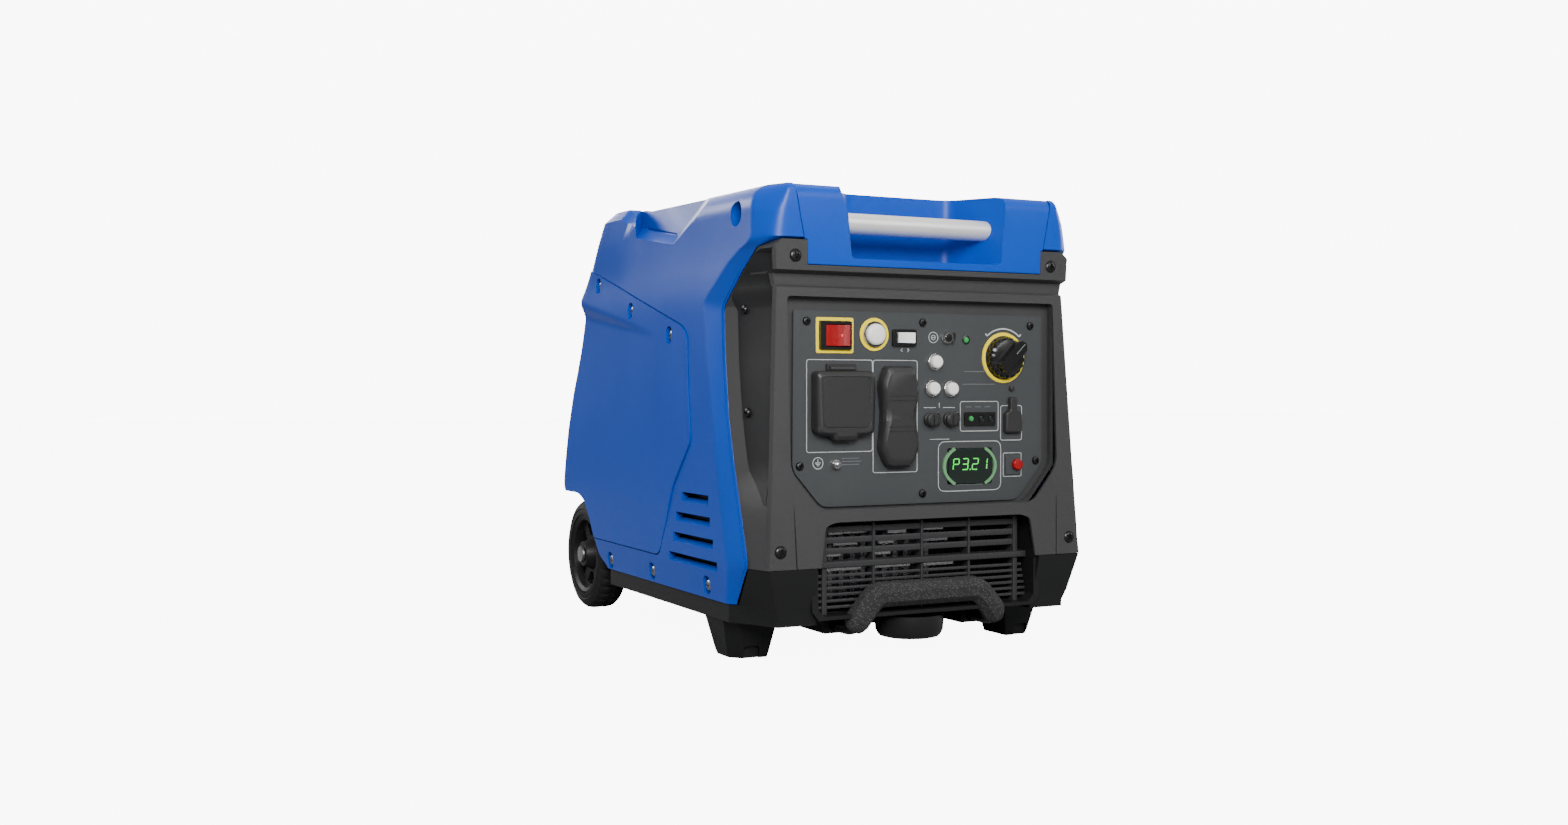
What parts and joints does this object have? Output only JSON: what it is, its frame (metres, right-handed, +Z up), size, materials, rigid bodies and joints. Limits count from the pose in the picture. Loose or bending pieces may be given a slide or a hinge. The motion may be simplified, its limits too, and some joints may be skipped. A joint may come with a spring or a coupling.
{
  "type": "inverter generator",
  "caption": "Closed-frame petrol inverter generator with a blue shell, dark control panel, carry bars, rear wheels and a pull-out tow handle.",
  "frame": {"origin": "on the ground under the middle of the machine's box", "axes": "+Z up, -Y towards the control panel side, +X to the right of a person facing the panel"},
  "size_m": [0.445, 0.622, 0.532],
  "materials": {
    "blue_plastic": "satin moulded, fine grain",
    "grey_plastic": "dark grey satin with fine texture",
    "black_plastic": "black textured",
    "panel_face": "printed slate-dark film",
    "anodised_aluminium": "brushed and clear anodised",
    "cast_aluminium": "as cast",
    "steel": "satin",
    "tyre_rubber": "matt, moulded tread",
    "foam": "speckled closed-cell foam",
    "red_plastic": "translucent red",
    "white_plastic": "plain",
    "clear_plastic": "translucent milky",
    "soft_rubber": "soft matt",
    "display_glass": "dark lens, green digits",
    "rope": "braided"
  },
  "bodies": {
    "machine": {"base_tray": "black_plastic", "front_foot_left": "black_plastic", "front_foot_right": "black_plastic", "left_side_shell": "blue_plastic", "right_side_shell": "blue_plastic", "left_service_cover": "blue_plastic", "right_service_cover": "blue_plastic", "top_cover": "blue_plastic", "front_bezel": "grey_plastic", "control_panel": "panel_face", "front_grille": "black_plastic", "rear_cover": "grey_plastic", "front_carry_bar": "anodised_aluminium", "rear_carry_bar": "anodised_aluminium", "round_base_cover": "black_plastic", "rear_axle": "steel", "fuel_tank": "black_plastic", "engine_block": "cast_aluminium", "cylinder_head": "cast_aluminium", "alternator_stator": "cast_aluminium", "muffler": "steel", "exhaust_outlet": "steel", "carburettor": "cast_aluminium", "air_filter_box": "black_plastic", "recoil_housing": "black_plastic", "starter_motor": "steel", "spark_plug": "white_plastic", "inverter_module": "cast_aluminium", "battery": "black_plastic", "socket_30a": "black_plastic", "socket_20a": "black_plastic", "display_meter": "display_glass"},
    "left_wheel": {"left_tyre": "tyre_rubber", "left_wheel_hub": "black_plastic"},
    "right_wheel": {"right_tyre": "tyre_rubber", "right_wheel_hub": "black_plastic"},
    "tow_handle": {"tow_handle_frame": "steel", "tow_handle_grip": "foam"},
    "crankshaft": {"crankshaft": "steel", "flywheel_rotor": "steel", "cooling_fan": "black_plastic"},
    "recoil_pulley": {"recoil_pulley": "black_plastic"},
    "recoil_handle": {"recoil_handle": "black_plastic", "recoil_rope": "rope"},
    "fuel_cap_insert": {"fuel_cap_insert": "black_plastic"},
    "fuel_cap": {"fuel_cap": "black_plastic"},
    "cap_vent_lever": {"cap_vent_lever": "black_plastic"},
    "stop_switch_rocker": {"stop_switch_rocker": "red_plastic"},
    "efficiency_rocker": {"efficiency_rocker": "white_plastic"},
    "start_button": {"start_button": "clear_plastic"},
    "reset_button": {"reset_button": "red_plastic"},
    "main_breaker_button": {"main_breaker_button": "clear_plastic"},
    "breaker_30a_button": {"breaker_30a_button": "clear_plastic"},
    "breaker_20a_button": {"breaker_20a_button": "clear_plastic"},
    "fuel_knob": {"fuel_knob": "black_plastic"},
    "socket_30a_cover": {"socket_30a_cover": "soft_rubber"},
    "socket_20a_cover": {"socket_20a_cover": "soft_rubber"},
    "usb_cover": {"usb_cover": "soft_rubber"},
    "parallel_cap_left": {"parallel_cap_left": "soft_rubber"},
    "parallel_cap_right": {"parallel_cap_right": "soft_rubber"}
  },
  "joints": [
    {"name": "left_wheel_spin", "type": "hinge", "parent": "machine", "child": "left_wheel", "pos_m": [-0.197, 0.237, 0.074], "axis": [1, 0, 0], "continuous": true},
    {"name": "right_wheel_spin", "type": "hinge", "parent": "machine", "child": "right_wheel", "pos_m": [0.197, 0.237, 0.074], "axis": [1, 0, 0], "continuous": true},
    {"name": "tow_handle_pull", "type": "slide", "parent": "machine", "child": "tow_handle", "axis": [0, -1, 0], "range_m": [0, 0.3]},
    {"name": "crankshaft_spin", "type": "hinge", "parent": "machine", "child": "crankshaft", "pos_m": [0, 0.07, 0.175], "axis": [1, 0, 0], "continuous": true},
    {"name": "recoil_pull", "type": "slide", "parent": "machine", "child": "recoil_handle", "axis": [1, 0, 0], "range_m": [0, 0.3]},
    {"name": "recoil_pulley_turn", "type": "hinge", "parent": "machine", "child": "recoil_pulley", "pos_m": [0.142, 0.07, 0.175], "axis": [1, 0, 0], "range_deg": [0, 480]},
    {"name": "fuel_cap_lift", "type": "slide", "parent": "machine", "child": "fuel_cap_insert", "axis": [0, 0, 1], "range_m": [0, 0.06]},
    {"name": "fuel_cap_turn", "type": "hinge", "parent": "fuel_cap_insert", "child": "fuel_cap", "pos_m": [0, -0.05, 0.504], "axis": [0, 0, 1], "range_deg": [0, 90]},
    {"name": "cap_vent_turn", "type": "hinge", "parent": "fuel_cap", "child": "cap_vent_lever", "pos_m": [0, -0.05, 0.521], "axis": [0, 0, 1], "range_deg": [0, 90]},
    {"name": "stop_switch_tilt", "type": "hinge", "parent": "machine", "child": "stop_switch_rocker", "pos_m": [-0.1105, -0.2846, 0.3577], "axis": [0, 0, 1], "range_deg": [0, 18]},
    {"name": "efficiency_switch_tilt", "type": "hinge", "parent": "machine", "child": "efficiency_rocker", "pos_m": [-0.023, -0.2846, 0.3566], "axis": [0, 0, 1], "range_deg": [0, 18]},
    {"name": "start_button_press", "type": "slide", "parent": "machine", "child": "start_button", "axis": [0, 1, 0], "range_m": [0, 0.003], "stiffness_N_per_m": 400},
    {"name": "reset_button_press", "type": "slide", "parent": "machine", "child": "reset_button", "axis": [0, 1, 0], "range_m": [0, 0.0025], "stiffness_N_per_m": 400},
    {"name": "main_breaker_travel", "type": "slide", "parent": "machine", "child": "main_breaker_button", "axis": [0, -1, 0], "range_m": [0, 0.004]},
    {"name": "breaker_30a_travel", "type": "slide", "parent": "machine", "child": "breaker_30a_button", "axis": [0, -1, 0], "range_m": [0, 0.004]},
    {"name": "breaker_20a_travel", "type": "slide", "parent": "machine", "child": "breaker_20a_button", "axis": [0, -1, 0], "range_m": [0, 0.004]},
    {"name": "fuel_knob_turn", "type": "hinge", "parent": "machine", "child": "fuel_knob", "pos_m": [0.1098, -0.2866, 0.3355], "axis": [0, -1, 0], "range_deg": [0, 90]},
    {"name": "socket_30a_cover_swing", "type": "hinge", "parent": "machine", "child": "socket_30a_cover", "pos_m": [-0.105, -0.29, 0.321], "axis": [-1, 0, 0], "range_deg": [0, 110]},
    {"name": "socket_20a_cover_swing", "type": "hinge", "parent": "machine", "child": "socket_20a_cover", "pos_m": [-0.035, -0.29, 0.326], "axis": [-1, 0, 0], "range_deg": [0, 110]},
    {"name": "usb_cover_swing", "type": "hinge", "parent": "machine", "child": "usb_cover", "pos_m": [0.1212, -0.29, 0.29], "axis": [-1, 0, 0], "range_deg": [0, 110]},
    {"name": "parallel_cap_left_pull", "type": "slide", "parent": "machine", "child": "parallel_cap_left", "axis": [0, -1, 0], "range_m": [0, 0.014]},
    {"name": "parallel_cap_right_pull", "type": "slide", "parent": "machine", "child": "parallel_cap_right", "axis": [0, -1, 0], "range_m": [0, 0.014]}
  ],
  "couplings": [
    {"joint": "recoil_pulley_turn", "follows": "recoil_pull", "rad_per_m": 26.316}
  ]
}
